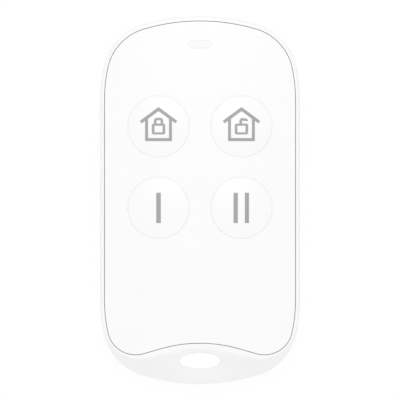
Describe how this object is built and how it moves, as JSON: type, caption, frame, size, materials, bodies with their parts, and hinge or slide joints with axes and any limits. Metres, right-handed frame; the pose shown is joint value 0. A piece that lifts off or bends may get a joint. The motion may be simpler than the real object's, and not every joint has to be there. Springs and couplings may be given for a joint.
{
  "type": "alarm key fob",
  "caption": "Rounded white remote control with domed push buttons, an inset crowned face, a sloped chin with an oval lanyard hole and a coin-slot battery door.",
  "frame": {"origin": "centre of the flat back that the fob lies on", "axes": "+Z out of the face with the keys, +Y towards the status light end, +X to the right"},
  "size_m": [0.0354, 0.065, 0.0125],
  "materials": {
    "case": "satin white ABS",
    "face": "white ABS, semi-gloss",
    "key": "white ABS, semi-gloss, printed pictogram",
    "window": "clear light pipe",
    "silicone": "translucent silicone",
    "door": "satin white ABS",
    "seal": "black nitrile sealing ring",
    "steel": "nickel-plated steel",
    "board": "green solder mask",
    "black_part": "moulded epoxy",
    "ceramic": "ceramic",
    "spring_metal": "gold-flashed phosphor bronze",
    "led": "moulded lens",
    "gasket": "polypropylene"
  },
  "bodies": {
    "case": {"case_body": "case", "face_plate": "face", "led_window": "window", "keypad_mat": "silicone", "board_screws": "steel", "circuit_board": "board", "status_led": "led", "radio_chip": "black_part", "crystal": "steel", "chip_capacitors": "ceramic", "chip_resistors": "black_part", "antenna": "steel", "contact_negative": "spring_metal", "contact_positive": "spring_metal", "coin_cell_can": "steel", "coin_cell_cap": "steel", "coin_cell_gasket": "gasket", "switch_arm_base": "black_part", "switch_arm_frame": "steel", "switch_disarm_base": "black_part", "switch_disarm_frame": "steel", "switch_one_base": "black_part", "switch_one_frame": "steel", "switch_two_base": "black_part", "switch_two_frame": "steel"},
    "battery_door": {"battery_door": "door", "door_seal": "seal"},
    "key_arm": {"key_arm": "key", "switch_arm_plunger": "black_part"},
    "key_disarm": {"key_disarm": "key", "switch_disarm_plunger": "black_part"},
    "key_one": {"key_one": "key", "switch_one_plunger": "black_part"},
    "key_two": {"key_two": "key", "switch_two_plunger": "black_part"}
  },
  "joints": [
    {"name": "press_arm", "type": "slide", "parent": "case", "child": "key_arm", "axis": [0, 0, -1], "range_m": [0, 0.0003], "stiffness_N_per_m": 2500, "springref_m": -0.0002, "deforming": ["keypad_mat"]},
    {"name": "press_disarm", "type": "slide", "parent": "case", "child": "key_disarm", "axis": [0, 0, -1], "range_m": [0, 0.0003], "stiffness_N_per_m": 2500, "springref_m": -0.0002, "deforming": ["keypad_mat"]},
    {"name": "press_one", "type": "slide", "parent": "case", "child": "key_one", "axis": [0, 0, -1], "range_m": [0, 0.0003], "stiffness_N_per_m": 2500, "springref_m": -0.0002, "deforming": ["keypad_mat"]},
    {"name": "press_two", "type": "slide", "parent": "case", "child": "key_two", "axis": [0, 0, -1], "range_m": [0, 0.0003], "stiffness_N_per_m": 2500, "springref_m": -0.0002, "deforming": ["keypad_mat"]},
    {"name": "door_turn", "type": "hinge", "parent": "case", "child": "battery_door", "pos_m": [0, -0.006, 0], "axis": [0, 0, -1], "range_deg": [0, 45]}
  ]
}
